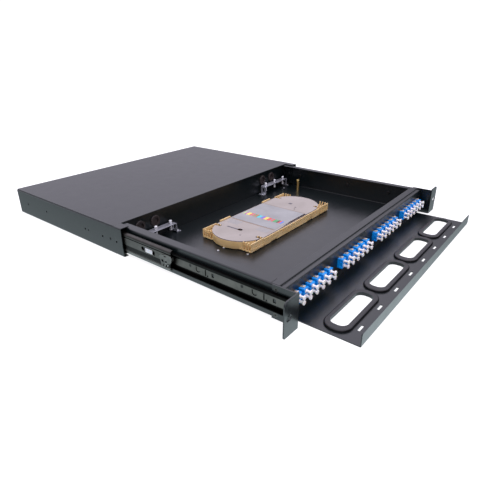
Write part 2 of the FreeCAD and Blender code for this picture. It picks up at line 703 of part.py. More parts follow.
# ---------------------------------------------------------------- adapters and caps
def adapter(x):
    hw = ADAPTER_W / 2
    hh = ADAPTER_H / 2
    z = ADAPTER_Z
    body = box(x - hw, x + hw, ADAPTER_FRONT, ADAPTER_BACK, z - hh, z + hh)
    flange = box(x - hw, x + hw, PANEL_Y + SHEET, PANEL_Y + SHEET + 1.8, z - 11.2, z + 11.2)
    shape = fuse([body, flange])
    cuts = []
    for s in (-1, 1):
        pz = z + s * PORT_PITCH / 2
        h = PORT_SIDE / 2
        cuts.append(box(x - h, x + h, ADAPTER_FRONT - 1, ADAPTER_FRONT + PORT_DEPTH, pz - h, pz + h))
        cuts.append(box(x - h, x + h, ADAPTER_BACK - PORT_DEPTH, ADAPTER_BACK + 1, pz - h, pz + h))
        cuts.append(rod((x, ADAPTER_FRONT, pz), (0, 1, 0), 1.1, ADAPTER_BACK - ADAPTER_FRONT))
        # latch notch on the left of each port
        cuts.append(box(x - hw - 1, x - hw + 1.2, ADAPTER_FRONT - 1, ADAPTER_FRONT + 3.5,
                        pz - 1.3, pz + 1.3))
    # step along the seam of the two halves
    cuts.append(box(x - hw - 1, x - hw + 0.3, ADAPTER_FRONT + 4.2, ADAPTER_FRONT + 4.8, z - hh, z + hh))
    return cut(shape, cuts)


def adapter_group(g):
    return group(adapter(x) for x in adapter_xs(g))


def adapter_clips():
    """Spring clips that press each adapter's flange against the back of the panel."""
    shapes = []
    for g in range(4):
        for x in adapter_xs(g):
            for s in (-1, 1):
                face_z = ADAPTER_Z + s * ADAPTER_H / 2
                z0, z1 = sorted((face_z, face_z + s * 0.5))
                strip = box(x - CLIP_W / 2, x + CLIP_W / 2, CLIP_Y, PANEL_Y - 0.05, z0, z1)
                z0, z1 = sorted((face_z, face_z + s * 1.6))
                knob = box(x - CLIP_W / 2, x + CLIP_W / 2, CLIP_Y, CLIP_Y + 2.8, z0, z1)
                top = [e for e in knob.Edges if abs(e.CenterOfMass.z - face_z - s * 1.6) < 1e-3]
                shapes.append(fuse([strip, knob.makeFillet(0.7, top)]))
    return group(shapes)


def alignment_sleeves():
    shapes = []
    mid = (ADAPTER_FRONT + ADAPTER_BACK) / 2
    for g in range(4):
        for x in adapter_xs(g):
            for s in (-1, 1):
                z = ADAPTER_Z + s * PORT_PITCH / 2
                tube = rod((x, mid - 3.4, z), (0, 1, 0), 1.1, 6.8)
                shapes.append(tube.cut(rod((x, mid - 4, z), (0, 1, 0), 0.63, 8)))
    return group(shapes)


def dust_cap(x, z, y, d, stem_l):
    """Cap for one port; y is the adapter's end face and d points out of it."""
    def span(a, b):
        return sorted((y + d * a, y + d * b))
    y0, y1 = span(-6.0, 0.2)
    plug = box(x - 2.1, x + 2.1, y0, y1, z - 2.1, z + 2.1)
    stem = Part.makeCylinder(1.6, stem_l, V(x, y, z), V(0, d, 0))
    base = V(x, y + d * (stem_l - 0.1), z)
    head = Part.makeCylinder(CAP_HEAD_R, CAP_HEAD_T, base, V(0, d, 0))
    head = head.makeFillet(0.5, [e for e in head.Edges if e.Length > CAP_HEAD_R * 6])
    cap = fuse([plug, stem, head])
    bore_y0, bore_y1 = span(stem_l - 0.8, stem_l + 3.0)
    return cap.cut(Part.makeCylinder(0.8, bore_y1 - bore_y0, V(x, bore_y0, z), V(0, 1, 0)))


def dust_caps(g, y, d, stem_l=CAP_STEM):
    shapes = []
    for x in adapter_xs(g):
        for s in (-1, 1):
            shapes.append(dust_cap(x, ADAPTER_Z + s * PORT_PITCH / 2, y, d, stem_l))
    return group(shapes)


# ---------------------------------------------------------------- clamps and hardware
def clamp_bracket(cx):
    z0 = Z_BOT + SHEET
    z1 = z0 + CLAMP_H
    reach = CLAMP_HALF + CLAMP_FOOT
    path = [(cx - reach, z0 + SHEET), (cx - CLAMP_HALF, z0 + SHEET), (cx - CLAMP_HALF, z1),
            (cx + CLAMP_HALF, z1), (cx + CLAMP_HALF, z0 + SHEET), (cx + reach, z0 + SHEET)]
    bracket = folded(path, SHEET, 1.0, CLAMP_Y - CLAMP_D / 2, CLAMP_Y + CLAMP_D / 2)
    cuts = []
    for i in (-1, 0, 1):
        cuts.append(rod((cx + i * CLAMP_SCREW_PITCH, CLAMP_Y, z1 - 5), (0, 0, 1), 2.05, 8))
    for s in (-1, 1):
        x = cx + s * CLAMP_RIVET_X
        cuts.append(rod((x, CLAMP_Y, z0 - 1), (0, 0, 1), 1.55, 4))
        # window in each leg for a cable tie
        cuts.append(box(cx + s * CLAMP_HALF - 2, cx + s * CLAMP_HALF + 2, CLAMP_Y - 2.5, CLAMP_Y + 2.5,
                        z0 + 4.5, z1 - 4.0))
    return cut(bracket, cuts)


def clamp_screws():
    shapes = []
    z1 = Z_BOT + SHEET + CLAMP_H
    for cx in CLAMP_X:
        for i in (-1, 0, 1):
            x = cx + i * CLAMP_SCREW_PITCH
            shapes.append(pan_screw((x, CLAMP_Y, z1 + 2.4), (0, 0, 1), 2.0, 13.5, CLAMP_SCREW_R, 3.2))
    return group(shapes)


def clamp_foot_rivets():
    shapes = []
    z = Z_BOT + 2 * SHEET
    for cx in CLAMP_X:
        for s in (-1, 1):
            x = cx + s * CLAMP_RIVET_X
            shapes.append(pan_screw((x, CLAMP_Y, z), (0, 0, 1), 1.5, 1.2, 2.6, 1.2, recess=False))
    return group(shapes)


def ground_stud():
    x, y = STUD_XY
    z0 = Z_BOT + SHEET
    r = 2.9
    hexagon = []
    for k in range(6):
        a = math.radians(60 * k)
        hexagon.append(V(x + r * math.cos(a), y + r * math.sin(a), z0))
    pillar = Part.Face(Part.makePolygon(hexagon + [hexagon[0]])).extrude(V(0, 0, 18.0))
    neck = rod((x, y, z0 + 17.9), (0, 0, 1), 1.6, 2.2)
    head = rod((x, y, z0 + 20.0), (0, 0, 1), 3.1, 2.4)
    top = [e for e in head.Edges if abs(e.CenterOfMass.z - z0 - 22.4) < 1e-3]
    head = head.makeFillet(0.9, top)
    return fuse([pillar, neck, head])


def floor_rivets():
    z = Z_BOT + SHEET
    return group(pan_screw((x, y, z), (0, 0, 1), 1.2, 1.2, 1.9, 0.9, recess=False)
                 for x, y in FLOOR_RIVETS)


def slide_inner_screws():
    shapes = []
    x = DRAWER_W / 2 - SHEET
    for s in (-1, 1):
        for y in INNER_SCREW_Y:
            shapes.append(pan_screw((s * x, y, 2), (-s, 0, 0), 2.0, 2.2, 3.4, 1.7))
    return group(shapes)


def slide_outer_screws():
    shapes = []
    for s in (-1, 1):
        for y in OUTER_SCREW_Y:
            x = SLEEVE_W / 2 - 0.5
            shapes.append(rod((s * x, y, 0), (-s, 0, 0), 2.0, 1.7))
    return group(shapes)


# ---------------------------------------------------------------- splice tray
def stadium(offset, z0, z1):
    r = ST_R + offset
    shapes = [rod((cx, ST_CY, z0), (0, 0, 1), r, z1 - z0) for cx in ST_CX]
    shapes.append(box(ST_CX[0], ST_CX[1], ST_CY - r, ST_CY + r, z0, z1))
    return fuse(shapes)


def tray_outline(offset, z0, z1):
    rect = box(ST_X[0] - offset, ST_X[1] + offset, ST_Y[0] - offset, ST_Y[1] + offset, z0, z1)
    return fuse([rect, stadium(offset, z0, z1)])


def channel_walls(sx, sy):
    """Fibre channels at one corner of the tray: open at both ends, with comb posts there."""
    z0 = ST_Z
    t = ST_WALL
    x_end = ST_X[0] if sx < 0 else ST_X[1]
    x_in = ST_BLOCK_X[0] if sx < 0 else ST_BLOCK_X[1]
    y_side = ST_Y[0] + t / 2 if sy < 0 else ST_Y[1] - t / 2
    xa, xb = sorted((x_end, x_in))
    parts = [box(xa, xb, y_side - t / 2, y_side + t / 2, z0, z0 + ST_BLOCK_H)]
    beside_cover = stadium(0.3, z0 - 1, z0 + ST_BLOCK_H + 1)
    for k in (1, 2, 3):
        y = y_side - sy * k * COMB_PITCH
        rib = box(xa, xb, y - 0.6, y + 0.6, z0, z0 + ST_RIB_H)
        parts.extend(rib.cut(stadium(-0.7, z0 - 1, z0 + ST_BLOCK_H + 1)).Solids)
        px, qx = sorted((x_end, x_end - sx * COMB_POST))
        parts.append(box(px, qx, y - 0.7, y + 0.7, z0, z0 + ST_BLOCK_H).cut(beside_cover))
    # posts at the inner ends, standing in the cover's notches
    for k in (1, 2):
        y = y_side - sy * k * COMB_PITCH
        px, qx = sorted((x_in, x_in + sx * COMB_POST))
        parts.append(box(px, qx, y - 0.7, y + 0.7, z0, z0 + ST_BLOCK_H + 0.3))
    return parts


def splice_tray_base():
    z0 = ST_Z
    z1 = z0 + ST_H
    t = ST_WALL
    x0, x1 = ST_X
    y0, y1 = ST_Y
    floor = tray_outline(0, z0, z0 + t)
    loop_wall = stadium(0, z0, z1).cut(stadium(-t, z0 - 1, z1 + 1))
    # gates in the loop wall where the channels and the comb posts meet it
    gates = []
    for x_in, s in ((ST_BLOCK_X[0], -1), (ST_BLOCK_X[1], 1)):
        for sy in (-1, 1):
            xa, xb = sorted((x_in - s * 1.0, x_in + s * 12.0))
            ya, yb = sorted((ST_CY + sy * (ST_R - 7.5), ST_CY + sy * (ST_R + 0.1)))
            gates.append(box(xa, xb, ya, yb, z0 + ST_RIB_H, z1 + 1))
    parts = [floor, loop_wall.cut(gates)]
    # long walls between the corners
    for ya, yb in ((y0, y0 + t), (y1 - t, y1)):
        parts.append(box(ST_BLOCK_X[0], ST_BLOCK_X[1], ya, yb, z0, z1))
    for sx in (-1, 1):
        for sy in (-1, 1):
            parts.extend(channel_walls(sx, sy))
    for cx in ST_CX:
        hub = rod((cx, ST_CY, z0), (0, 0, 1), 17.0, ST_H - 2.0)
        parts.append(hub.cut(rod((cx, ST_CY, z0 - 1), (0, 0, 1), 15.5, ST_H + 2)))
    # snap lugs along the rear side
    for xa, xb in ST_LUGS:
        parts.append(box(xa, xb, y1 - t, y1 + 0.8, z0, z0 + ST_LUG_H))
    # thicker feet of the channels on the front side
    for xa, xb in ((x0 + 3, ST_BLOCK_X[0] - 2), (ST_BLOCK_X[1] + 2, x1 - 3)):
        parts.append(box(xa, xb, y0 - 0.6, y0 + t, z0 + 1.5, z0 + 4.5))
    base = fuse(parts)
    cuts = []
    # notches under the front and rear walls
    for xa, xb in ((-76.5, -74.5), (-58.0, -43.0), (47.0, 63.0), (86.0, 88.0)):
        cuts.append(box(xa, xb, y0 - 3, y0 + 1.1, z0 - 1, z0 + 2.4))
        cuts.append(box(xa, xb, y1 - 1.1, y1 + 3, z0 - 1, z0 + 2.4))
    # moulded lines along the front and rear walls
    for dz in (4.9, 8.8):
        cuts.append(box(x0 + 4, x1 - 4, y0 - 1, y0 + 0.5, z0 + dz, z0 + dz + 0.7))
        cuts.append(box(x0 + 4, x1 - 4, y1 - 0.5, y1 + 0.01, z0 + dz, z0 + dz + 0.7))
    for x, y in TRAY_STUDS:
        cuts.append(rod((x, y, z0 - 1), (0, 0, 1), 2.4, 4))
    return cut(base, cuts)


def splice_holder():
    z0 = ST_Z + ST_WALL + FIT_GAP / 2
    x0, x1 = -36.0, 54.0
    parts = [box(x0, x1, 166.0, 224.0, z0, z0 + 1.2)]
    for i in range(13):
        y = 166.0 + i * 4.72
        for xa, xb in ((x0 + 4, x0 + 16), (x1 - 16, x1 - 4), (5.0, 13.0)):
            parts.append(box(xa, xb, y, y + 1.2, z0, z0 + 5.6))
    return fuse(parts)


def splice_tray_studs():
    shapes = []
    for x, y in TRAY_STUDS:
        z0 = Z_BOT + SHEET
        washer = rod((x, y, z0), (0, 0, 1), 5.0, ST_Z - z0)
        pin = rod((x, y, z0), (0, 0, 1), 2.0, ST_Z - z0 + 5.0)
        top = [e for e in pin.Edges if abs(e.CenterOfMass.z - ST_Z - 5.0) < 1e-3]
        pin = pin.makeChamfer(0.5, top)
        shapes.append(fuse([washer, pin]))
    return group(shapes)


def splice_tray_cover():
    z0 = ST_Z + ST_H
    plate = stadium(-0.4, z0, z0 + COVER_T)
    cuts = []
    for xa, xb in ST_LUGS:
        cuts.append(box(xa - 0.4, xb + 0.4, ST_Y[1] - 1.9, ST_Y[1] + 3, z0 - 1, z0 + 3))
    # notches round the inner comb posts
    for x_in, s in ((ST_BLOCK_X[0], -1), (ST_BLOCK_X[1], 1)):
        for sy in (-1, 1):
            xa, xb = sorted((x_in - s * 0.8, x_in + s * (COMB_POST + 2.6)))
            edge = ST_Y[0] if sy < 0 else ST_Y[1]
            ya, yb = sorted((edge, edge - sy * (2 * COMB_PITCH + 3.0)))
            cuts.append(box(xa, xb, ya, yb, z0 - 1, z0 + 3))
    # long finger hole and two small holes
    cuts.append(plate_round(-72.3, 195.2, 6.4, 9.0, 3.1, z0 - 1, z0 + 3))
    cuts.append(rod((-88.7, 181.8, z0 - 1), (0, 0, 1), 1.2, 4))
    cuts.append(rod((64.5, 181.6, z0 - 1), (0, 0, 1), 1.2, 4))
    # slit beside the label along the front
    y_slit = ST_CY - ST_R + 1.0
    cuts.append(extrude([(-30.0, y_slit, z0 - 1), (LABEL_X[1] + 1, y_slit, z0 - 1),
                         (LABEL_X[1] + 1, y_slit + LABEL_GAP - 1, z0 - 1), (4.0, y_slit + LABEL_GAP - 1, z0 - 1)],
                        [0] * 4, (0, 0, 5)))
    return cut(plate, cuts)


def fibre_label():
    z0 = ST_Z + ST_H + COVER_T
    return box(LABEL_X[0], LABEL_X[1], ST_CY - ST_R + LABEL_GAP + 0.2, ST_CY + ST_R - 2.6, z0, z0 + LABEL_T)


# ---------------------------------------------------------------- write the sub-parts
def build():
    nodes = {}
    nodes["top_cover"] = top_cover()
    left = side_panel_left()
    nodes["side_panel_left"] = left
    nodes["side_panel_right"] = mirror_x(left)
    pairs = {
        "slide_outer": slide_outer_left(),
        "slide_middle": slide_middle_left(),
        "slide_stop": slide_stop_left(),
        "slide_latch": slide_latch_left(),
        "slide_inner": slide_inner_left(),
        "ball_cage_outer": ball_cage_left(OUTER_CAGE_U, OUTER_CAGE_HALF_H, OUTER_CAGE_Y),
        "ball_cage_inner": ball_cage_left(INNER_CAGE_U, INNER_CAGE_HALF_H, INNER_CAGE_Y),
        "rack_ear": rack_ear_left(),
    }
    for name, shape in pairs.items():
        nodes[name + "_left"] = shape
        nodes[name + "_right"] = mirror_x(shape)
    nodes["slide_outer_screws"] = slide_outer_screws()
    nodes["slide_inner_screws"] = slide_inner_screws()
    nodes["drawer_pan"] = drawer_pan()
    nodes["rear_wall"] = rear_wall()
    nodes["rear_wall_screws"] = rear_wall_screws()
    nodes["adapter_panel"] = adapter_panel()
    nodes["panel_screws"] = panel_screws()
    nodes["cable_tray"] = cable_tray()
    nodes["cable_tray_screws"] = tray_screws()
    nodes["ear_screws"] = ear_screws()
    for i in range(4):
        nodes["window_grommet_%d" % (i + 1)] = window_grommet(i)
        nodes["cable_entry_grommet_%d" % (i + 1)] = entry_grommet(ENTRY_X[i])
        nodes["adapter_group_%d" % (i + 1)] = adapter_group(i)
        nodes["dust_caps_%d" % (i + 1)] = dust_caps(i, ADAPTER_FRONT, -1)
    nodes["adapter_clips"] = adapter_clips()
    nodes["alignment_sleeves"] = alignment_sleeves()
    nodes["rear_dust_caps"] = group([dust_caps(g, ADAPTER_BACK, 1) for g in range(4)])
    nodes["cable_clamp_left"] = clamp_bracket(CLAMP_X[0])
    nodes["cable_clamp_right"] = clamp_bracket(CLAMP_X[1])
    nodes["cable_clamp_screws"] = clamp_screws()
    nodes["clamp_foot_rivets"] = clamp_foot_rivets()
    nodes["ground_stud"] = ground_stud()
    nodes["floor_rivets"] = floor_rivets()
    nodes["splice_tray_base"] = splice_tray_base()
    nodes["splice_holder"] = splice_holder()
    nodes["splice_tray_studs"] = splice_tray_studs()
    nodes["splice_tray_cover"] = splice_tray_cover()
    nodes["fibre_label"] = fibre_label()
    return nodes


for name, shape in build().items():
    shape.exportStep("parts/" + name + ".step")
    print(name, len(shape.Solids), "solids", shape.isValid(), round(shape.Volume / 1000, 2), "cm3")
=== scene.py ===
"""Looks of the sliding fibre termination box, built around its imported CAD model."""
import json
import math

import bpy
from mathutils import Matrix, Vector

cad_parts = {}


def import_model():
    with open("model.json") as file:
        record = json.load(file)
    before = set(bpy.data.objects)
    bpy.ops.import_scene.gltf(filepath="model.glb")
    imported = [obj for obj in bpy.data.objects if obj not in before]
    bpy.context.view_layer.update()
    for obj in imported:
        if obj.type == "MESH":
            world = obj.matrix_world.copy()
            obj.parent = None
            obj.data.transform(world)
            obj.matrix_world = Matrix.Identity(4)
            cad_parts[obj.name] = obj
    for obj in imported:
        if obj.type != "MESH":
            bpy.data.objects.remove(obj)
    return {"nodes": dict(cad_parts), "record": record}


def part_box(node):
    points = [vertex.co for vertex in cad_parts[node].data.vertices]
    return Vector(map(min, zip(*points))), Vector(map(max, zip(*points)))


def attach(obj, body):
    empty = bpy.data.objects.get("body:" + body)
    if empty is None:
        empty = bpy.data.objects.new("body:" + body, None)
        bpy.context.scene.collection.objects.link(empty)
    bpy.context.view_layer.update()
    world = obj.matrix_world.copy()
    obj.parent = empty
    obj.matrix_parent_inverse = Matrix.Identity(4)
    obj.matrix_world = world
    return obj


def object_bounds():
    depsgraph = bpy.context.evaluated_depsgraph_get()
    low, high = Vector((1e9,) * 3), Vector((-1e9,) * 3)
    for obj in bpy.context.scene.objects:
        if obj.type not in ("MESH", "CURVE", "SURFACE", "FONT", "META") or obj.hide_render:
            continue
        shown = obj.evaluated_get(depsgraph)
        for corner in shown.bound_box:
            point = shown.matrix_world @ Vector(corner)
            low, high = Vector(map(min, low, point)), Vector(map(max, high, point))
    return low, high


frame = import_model()
cad_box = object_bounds()
nodes = frame["nodes"]
MM = 0.001

# the printed marks lie this far above the surface they are printed on
PRINT_LIFT = 0.00004

# studio surround: (elevation in degrees, brightness), cool below the horizon, faintly violet above
WORLD_STRENGTH = 2.0
COOL = (0.86, 1.0, 1.05)
VIOLET = (1.0, 0.96, 1.11)
LEVELS = (
    (-90, 0.60), (-45, 0.84), (-35, 0.84), (-28, 0.66), (-23, 0.46), (-16, 0.29), (-8, 0.32), (0, 0.36),
    (11, 0.28), (17, 0.365), (22, 0.54), (27, 0.73), (38, 0.98), (90, 0.98),
)
DIM_SIDE_LEVELS = (
    (-90, 0.60), (-45, 0.84), (-35, 0.84), (-28, 0.66), (-23, 0.44), (-16, 0.29), (-8, 0.28), (0, 0.24),
    (11, 0.10), (17, 0.09), (22, 0.20), (27, 0.58), (38, 0.98), (90, 0.98),
)
# the surround is dim on the right: direction of its middle, and the cosines where it begins and is full
DIM_SIDE_AXIS = (0.985, -0.174, 0.0)
DIM_SIDE_BEGINS = 0.77
DIM_SIDE_FULL = 0.87
BACKDROP_LEVEL = 0.55

# pale floor: half its side in metres, its depth under the object, its brightness
FLOOR_HALF = 6.0
FLOOR_GAP = 0.0002
FLOOR_GLOW = 0.82

# camera: place in metres, heading from the Y axis toward X, tilt and roll in degrees
CAMERA_PLACE = (-0.53842, -0.19087, 0.24937)
CAMERA_HEADING = 50.7148
CAMERA_TILT = -24.3072
CAMERA_ROLL = 0.6645
SENSOR_MM = 36.0
LENS_MM = 31.91064
LENS_SHIFT = (-0.00524063, -0.00104146)


# ---------------------------------------------------------------- materials
class Shader:
    """A Principled material with short calls for the nodes that feed it."""

    def __init__(self, name, roughness, metallic=0.0, ior=1.5, coat=0.0, coat_roughness=0.1):
        self.material = bpy.data.materials.new(name)
        self.material.use_nodes = True
        self.tree = self.material.node_tree
        self.bsdf = self.tree.nodes["Principled BSDF"]
        self.bsdf.inputs["Roughness"].default_value = roughness
        self.bsdf.inputs["Metallic"].default_value = metallic
        self.bsdf.inputs["IOR"].default_value = ior
        self.bsdf.inputs["Coat Weight"].default_value = coat
        self.bsdf.inputs["Coat Roughness"].default_value = coat_roughness
        self.place = self.node("ShaderNodeTexCoord").outputs["Object"]

    def node(self, kind):
        return self.tree.nodes.new(kind)

    def join(self, a, b):
        self.tree.links.new(a, b)

    def noise(self, scale, detail=2.0, rough=0.5, stretch=None, distortion=0.0):
        n = self.node("ShaderNodeTexNoise")
        n.inputs["Scale"].default_value = scale
        n.inputs["Detail"].default_value = detail
        n.inputs["Roughness"].default_value = rough
        n.inputs["Distortion"].default_value = distortion
        vector = self.place
        if stretch:
            mapping = self.node("ShaderNodeMapping")
            mapping.inputs["Scale"].default_value = stretch
            self.join(self.place, mapping.inputs["Vector"])
            vector = mapping.outputs["Vector"]
        self.join(vector, n.inputs["Vector"])
        return n.outputs["Fac"]

    def ramp(self, value, stops):
        r = self.node("ShaderNodeValToRGB")
        elements = r.color_ramp.elements
        for i, (at, colour) in enumerate(stops):
            if i < 2:
                e = elements[i]
                e.position = at
            else:
                e = elements.new(at)
            e.color = (*colour, 1.0)
        self.join(value, r.inputs["Fac"])
        return r.outputs["Color"]

    def remap(self, value, low, high, a=0.0, b=1.0):
        m = self.node("ShaderNodeMapRange")
        m.inputs["From Min"].default_value = a
        m.inputs["From Max"].default_value = b
        m.inputs["To Min"].default_value = low
        m.inputs["To Max"].default_value = high
        self.join(value, m.inputs["Value"])
        return m.outputs["Result"]

    def mix(self, factor, a, b):
        m = self.node("ShaderNodeMix")
        m.data_type = "RGBA"
        self.put(factor, m.inputs["Factor"])
        self.put(a, m.inputs[6])
        self.put(b, m.inputs[7])
        return m.outputs[2]

    def put(self, value, socket):
        if isinstance(value, bpy.types.NodeSocket):
            self.join(value, socket)
        elif hasattr(value, "__len__"):
            socket.default_value = (*value, 1.0) if len(value) == 3 else value
        else:
            socket.default_value = value

    def colour(self, value):
        self.put(value, self.bsdf.inputs["Base Color"])

    def rough(self, value):
        self.put(value, self.bsdf.inputs["Roughness"])

    def axis(self, name):
        """One coordinate of the surface point, in metres of the CAD frame."""
        n = self.node("ShaderNodeSeparateXYZ")
        self.join(self.place, n.inputs["Vector"])
        return n.outputs[name]

    def band(self, value, low, high, soft):
        """1 between low and high, 0 outside."""
        up = self.remap(value, 0.0, 1.0, low - soft, low + soft)
        down = self.remap(value, 1.0, 0.0, high - soft, high + soft)
        m = self.node("ShaderNodeMath")
        m.operation = "MULTIPLY"
        self.join(up, m.inputs[0])
        self.join(down, m.inputs[1])
        return m.outputs["Value"]

    def bump(self, height, distance, strength=1.0):
        b = self.node("ShaderNodeBump")
        b.inputs["Distance"].default_value = distance
        b.inputs["Strength"].default_value = strength
        self.join(height, b.inputs["Height"])
        self.join(b.outputs["Normal"], self.bsdf.inputs["Normal"])


def powder_coat(name, base, lighter, roughness, grain=1.0):
    s = Shader(name, roughness)
    cloud = s.noise(9.0, 3.0, 0.55)
    speck = s.noise(1500.0, 2.0, 0.6)
    tone = s.ramp(cloud, [(0.3, base), (0.72, lighter)])
    flecks = s.remap(speck, 0.0, 0.35, 0.55, 0.8)
    s.colour(s.mix(flecks, tone, tuple(c * 1.7 for c in lighter)))
    s.rough(s.remap(s.noise(60.0, 2.0), roughness - 0.03, roughness + 0.05))
    s.bump(s.noise(1300.0, 2.0, 0.55), 0.00006 * grain, 0.5)
    return s.material


def plated(name, base, dark, roughness, stretch=(1.0, 1.0, 1.0), scale=400.0, metallic=1.0):
    s = Shader(name, roughness, metallic=metallic)
    s.colour(s.ramp(s.noise(80.0, 3.0, 0.6), [(0.3, dark), (0.7, base)]))
    s.rough(s.remap(s.noise(scale, 3.0, 0.6, stretch), roughness - 0.08, roughness + 0.12))
    s.bump(s.noise(scale, 2.0, 0.5, stretch), 0.00004, 0.4)
    return s.material


def moulded(name, base, shade, roughness, scale=700.0, subsurface=0.0, coat=0.0):
    s = Shader(name, roughness, ior=1.48, coat=coat, coat_roughness=0.2)
    s.colour(s.ramp(s.noise(45.0, 3.0, 0.55), [(0.3, shade), (0.7, base)]))
    s.rough(s.remap(s.noise(120.0, 2.0), roughness - 0.04, roughness + 0.06))
    if subsurface:
        s.bsdf.inputs["Subsurface Weight"].default_value = subsurface
        s.bsdf.inputs["Subsurface Radius"].default_value = (0.003, 0.002, 0.0012)
        s.bsdf.inputs["Subsurface Scale"].default_value = 1.0
    s.bump(s.noise(scale, 2.0, 0.5), 0.00003, 0.3)
    return s.material


coat = powder_coat("black_powder_coat", (0.0016, 0.0040, 0.0046), (0.0030, 0.0056, 0.0064), 0.29)
# painted shade: a darker copy of the black powder coat, worn by the drawer pan and rear wall
shaded_inner_coat = powder_coat("drawer_powder_coat_shaded", (0.0008, 0.0030, 0.0034), (0.0018, 0.0042, 0.0048), 0.29)


def race_steel(name, bands, base=(0.12, 0.115, 0.105), dark=(0.085, 0.082, 0.075), shade_above=None):
    """Black-zinc slide steel; the bands of height given in mm are painted near black as shade in and around
    its races, and above the optional height in mm it is painted darker as shade.
    """
    s = Shader(name, 0.36, metallic=1.0)
    tone = s.ramp(s.noise(80.0, 3.0, 0.6), [(0.3, dark), (0.7, base)])
    z = s.axis("Z")
    for low, high in bands:
        mask = s.band(z, low * MM, high * MM, 0.0003)
        # painted shade: near-black colour inside each race band, standing in for the shadow there
        painted_race_shade = s.ramp(s.noise(260.0, 3.0, 0.6),
                        [(0.3, (0.002, 0.002, 0.002)), (0.8, (0.008, 0.008, 0.007))])
        tone = s.mix(mask, tone, painted_race_shade)
    if shade_above:
        # painted shade: above the given height the steel is mixed halfway towards near black
        above = s.remap(z, 0.0, 0.5, (shade_above - 0.3) * MM, (shade_above + 0.3) * MM)
        tone = s.mix(above, tone, (0.02, 0.02, 0.018))
    s.colour(tone)
    s.rough(s.remap(s.noise(400.0, 3.0, 0.6, (1.0, 0.05, 1.0)), 0.28, 0.46))
    s.bump(s.noise(400.0, 2.0, 0.5, (1.0, 0.05, 1.0)), 0.00004, 0.4)
    return s.material


# the dark height bands and the darker top on these slide steels are painted shade
slide_steel = race_steel("slide_steel", [(13.0, 19.5), (-16.5, -13.0)])
middle_steel = race_steel("slide_middle_steel", [(-9.3, -2.2), (8.4, 10.2)], (0.11, 0.105, 0.098),
                          (0.080, 0.077, 0.072), shade_above=10.6)
inner_steel = race_steel("slide_inner_steel", [(4.7, 11.5), (-12.0, -5.2)])
latch_steel = race_steel("latch_steel", [], (0.16, 0.156, 0.148), (0.10, 0.098, 0.092))
ball_steel = plated("ball_steel", (0.62, 0.61, 0.6), (0.5, 0.49, 0.48), 0.2)
zinc = plated("zinc", (0.74, 0.76, 0.78), (0.52, 0.54, 0.58), 0.24)
ear_screw = plated("ear_screw", (0.085, 0.084, 0.08), (0.045, 0.044, 0.042), 0.30)
black_screw = plated("black_oxide", (0.05, 0.05, 0.05), (0.03, 0.03, 0.03), 0.4)
brass = plated("brass", (0.82, 0.64, 0.27), (0.66, 0.48, 0.18), 0.3)
clip_metal = plated("clip_metal", (0.86, 0.74, 0.60), (0.66, 0.54, 0.42), 0.45)
rubber = moulded("rubber", (0.005, 0.005, 0.0055), (0.003, 0.003, 0.0035), 0.40)
brown_rubber = moulded("brown_rubber", (0.022, 0.014, 0.012), (0.012, 0.008, 0.007), 0.5)
adapter_blue = moulded("adapter_blue", (0.001, 0.33, 0.90), (0.001, 0.22, 0.66), 0.34, coat=0.2)
cap_white = moulded("cap_white", (0.87, 0.84, 0.80), (0.78, 0.74, 0.69), 0.45, subsurface=0.2)
nylon = moulded("nylon", (0.60, 0.61, 0.63), (0.52, 0.53, 0.55), 0.4, subsurface=0.2)
zirconia = moulded("zirconia", (0.90, 0.90, 0.87), (0.85, 0.85, 0.82), 0.15)
tray_cream = moulded("tray_cream", (0.64, 0.47, 0.23), (0.54, 0.37, 0.15), 0.42, subsurface=0.15)
clamp_zinc = plated("clamp_zinc", (0.50, 0.52, 0.56), (0.30, 0.30, 0.32), 0.30, metallic=0.6)
screw_zinc = plated("screw_zinc", (0.86, 0.87, 0.86), (0.70, 0.71, 0.72), 0.30, metallic=0.35)
holder_cream = moulded("holder_cream", (0.42, 0.34, 0.24), (0.34, 0.27, 0.18), 0.5)


cover_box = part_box("splice_tray_cover")


def cover_plastic():
    """Smoky moulded sheet over the splice area, with faint flow marks and painted shade on its side edge.
    """
    s = Shader("cover_plastic", 0.42, ior=1.45)
    tone = s.ramp(s.noise(14.0, 4.0, 0.6, distortion=0.6),
                  [(0.3, (0.245, 0.215, 0.19)), (0.7, (0.315, 0.28, 0.255))])
    # painted shade: the side edge below the cover's top face is mixed to a dark bluish colour
    painted_edge_shade = s.remap(s.axis("Z"), 1.0, 0.0, cover_box[1].z - 0.0003, cover_box[1].z - 0.0001)
    s.colour(s.mix(painted_edge_shade, tone, (0.12, 0.10, 0.15)))
    s.rough(s.remap(s.noise(90.0, 3.0), 0.38, 0.52))
    s.bump(s.noise(30.0, 2.0), 0.0002, 0.25)
    return s.material


def label_paper():
    s = Shader("label_paper", 0.55)
    tone = s.ramp(s.noise(30.0, 3.0, 0.6), [(0.3, (0.215, 0.215, 0.215)), (0.7, (0.27, 0.27, 0.27))])
    s.colour(tone)
    s.rough(s.remap(s.noise(200.0, 2.0), 0.45, 0.6))
    s.bump(s.noise(900.0, 3.0, 0.6), 0.00004, 0.4)
    return s.material


looks = {
    "black_powder_coat": coat,
    "slide_steel": slide_steel,
    "ball_steel": ball_steel,
    "nylon": nylon,
    "zinc_steel": zinc,
    "black_screw": black_screw,
    "brass": brass,
    "rubber": rubber,
    "brown_rubber": brown_rubber,
    "adapter_blue": adapter_blue,
    "clip_metal": clip_metal,
    "cap_white": cap_white,
    "zirconia": zirconia,
    "tray_cream": tray_cream,
    "cover_grey": cover_plastic(),
    "label_paper": label_paper(),
}
